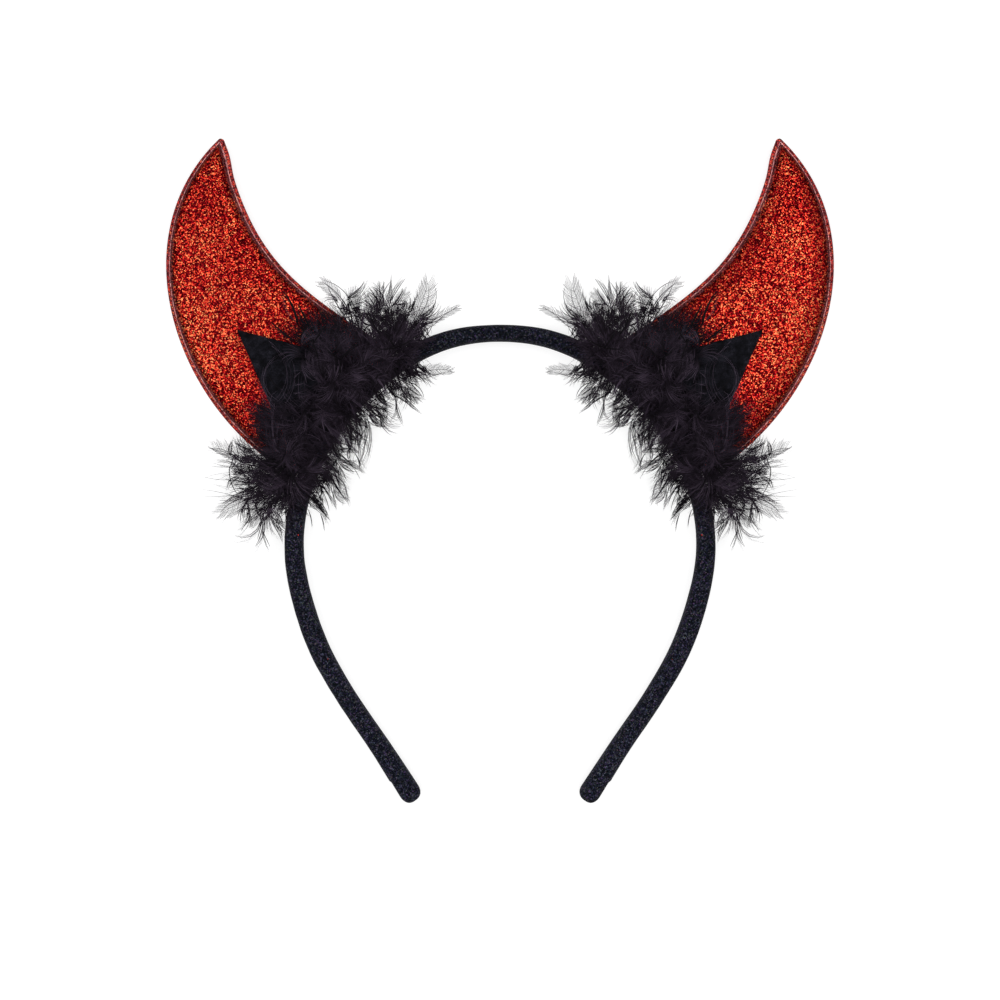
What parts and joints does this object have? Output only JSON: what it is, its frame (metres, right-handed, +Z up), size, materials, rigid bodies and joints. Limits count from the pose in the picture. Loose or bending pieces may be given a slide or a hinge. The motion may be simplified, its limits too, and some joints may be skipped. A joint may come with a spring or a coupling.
{
  "type": "horned costume headband",
  "caption": "Costume headband: fabric-covered springy band with padded red glitter horns, a black felt triangle on each horn and a fluffy feather strip over each horn's foot.",
  "frame": {"origin": "middle of the bounding box, on the surface that the headband lies on", "axes": "+Y from the band's tips to the horns' tips, +X to the right as the horns are seen from the front, +Z up from the surface, out of the horns' front"},
  "size_m": [0.191, 0.1896, 0.0174],
  "materials": {
    "band_cloth": "blue-black woven cloth glued round a springy core",
    "horn_glitter": "red and orange glitter on a dark maroon cloth, sealed round the edge",
    "felt": "black felt",
    "feather": "soft black downy feathers"
  },
  "bodies": {
    "root": {"band": "band_cloth", "horn_front_panel_left": "horn_glitter", "horn_back_panel_left": "horn_glitter", "felt_triangle_left": "felt", "feather_trim_left": "feather", "horn_front_panel_right": "horn_glitter", "horn_back_panel_right": "horn_glitter", "felt_triangle_right": "felt", "feather_trim_right": "feather"}
  },
  "joints": []
}
